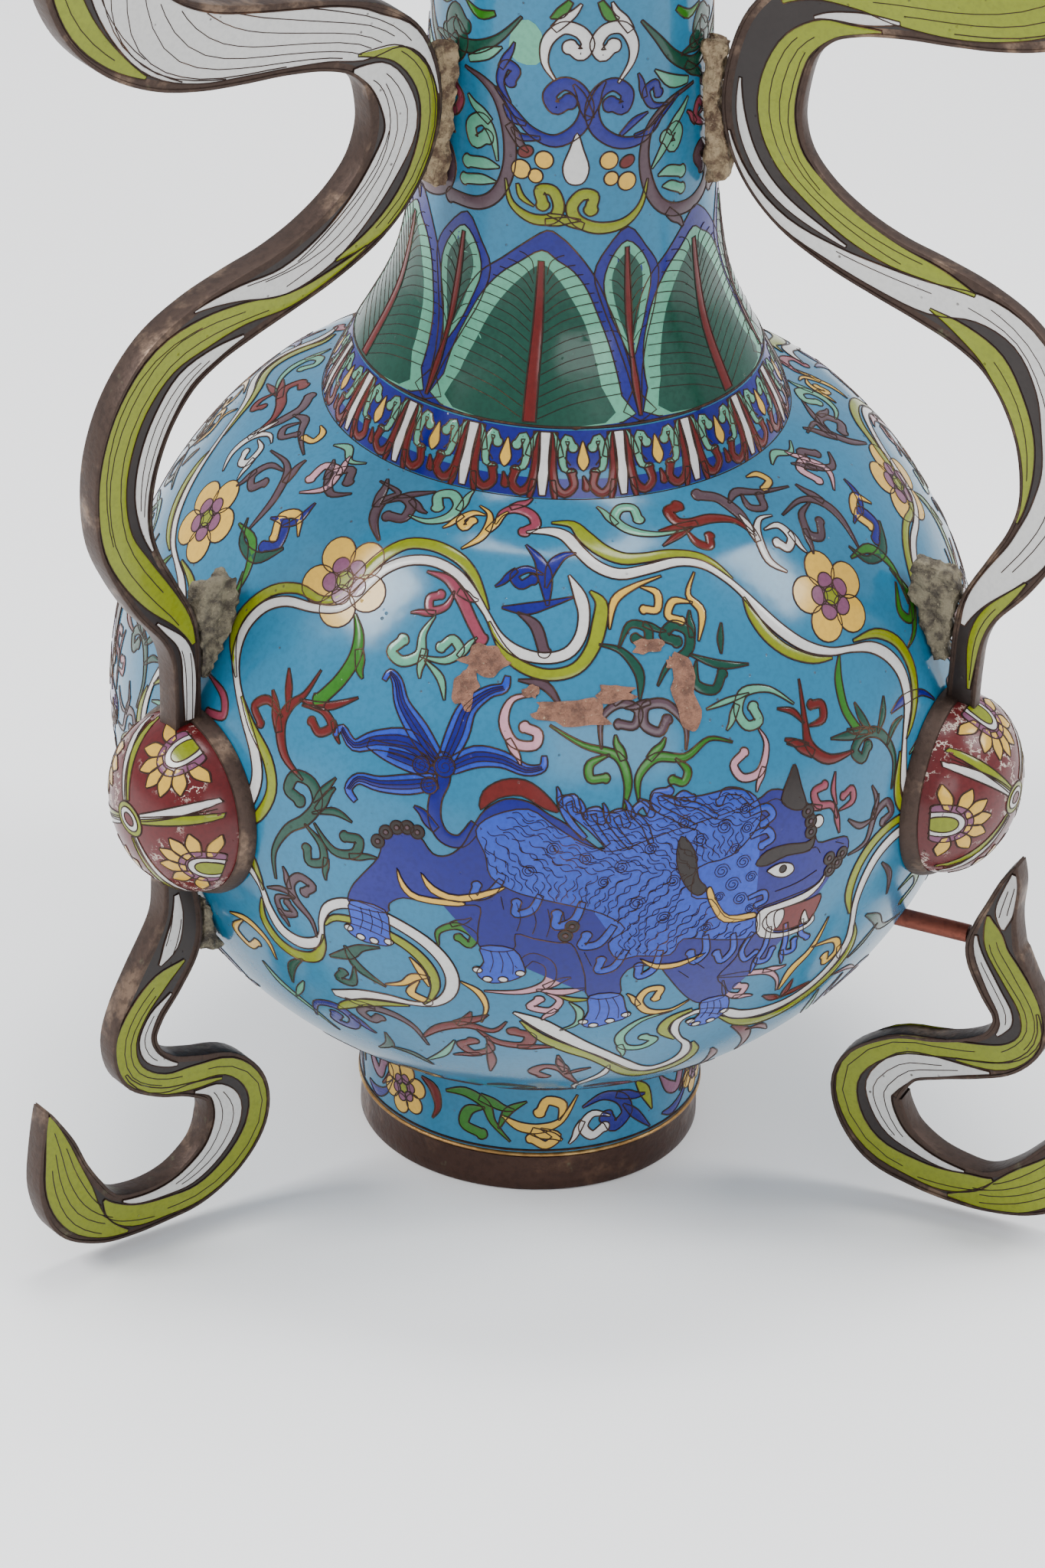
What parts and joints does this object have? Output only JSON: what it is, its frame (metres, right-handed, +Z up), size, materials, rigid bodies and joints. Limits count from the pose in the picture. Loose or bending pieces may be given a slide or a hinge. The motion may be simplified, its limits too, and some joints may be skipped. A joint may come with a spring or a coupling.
{
  "type": "cloisonne vase",
  "caption": "Enamelled copper bottle vase on a ring foot, with brocade balls round the belly, ribbon handles rising to the neck and ribbon tails beside the foot.",
  "frame": {"origin": "centre of the foot band's resting face, on the vase's axis", "axes": "+Z up along the vase's axis, -Y towards the front, midway between the two balls that the viewer sees"},
  "size_m": [0.358, 0.3411, 0.54],
  "materials": {
    "turquoise_enamel": "polished enamel in wire cells, turquoise ground",
    "maroon_enamel": "polished enamel, maroon ground, worn",
    "ribbon_enamel": "polished enamel streaks, yellow-green and white, pitted",
    "patinated_copper": "dark brown patina on copper sheet",
    "bare_copper": "reddish copper rod, dull",
    "gilt_copper": "thin worn gilding",
    "old_solder": "crusty grey-green solder and resin",
    "decor_enamel": "polished enamel in many colours with drawn wire outlines"
  },
  "bodies": {
    "root": {"belly": "turquoise_enamel", "neck": "turquoise_enamel", "mouth": "turquoise_enamel", "mouth_rim": "gilt_copper", "foot_ring": "turquoise_enamel", "foot_bead": "gilt_copper", "foot_band": "patinated_copper", "base_plate": "patinated_copper", "ball_1": "maroon_enamel", "ball_2": "maroon_enamel", "ball_3": "maroon_enamel", "ball_1_rim": "patinated_copper", "ball_2_rim": "patinated_copper", "ball_3_rim": "patinated_copper", "ribbon_1_edge": "patinated_copper", "ribbon_1_left_face": "ribbon_enamel", "ribbon_1_right_face": "ribbon_enamel", "ribbon_2_edge": "patinated_copper", "ribbon_2_left_face": "ribbon_enamel", "ribbon_2_right_face": "ribbon_enamel", "ribbon_3_edge": "patinated_copper", "ribbon_3_left_face": "ribbon_enamel", "ribbon_3_right_face": "ribbon_enamel", "tail_1_edge": "patinated_copper", "tail_1_left_face": "ribbon_enamel", "tail_1_right_face": "ribbon_enamel", "tail_2_edge": "patinated_copper", "tail_2_left_face": "ribbon_enamel", "tail_2_right_face": "ribbon_enamel", "tail_3_edge": "patinated_copper", "tail_3_left_face": "ribbon_enamel", "tail_3_right_face": "ribbon_enamel", "tail_pin": "bare_copper", "neck_solder": "old_solder", "handle_solder": "old_solder", "tail_solder": "old_solder"}
  },
  "joints": []
}
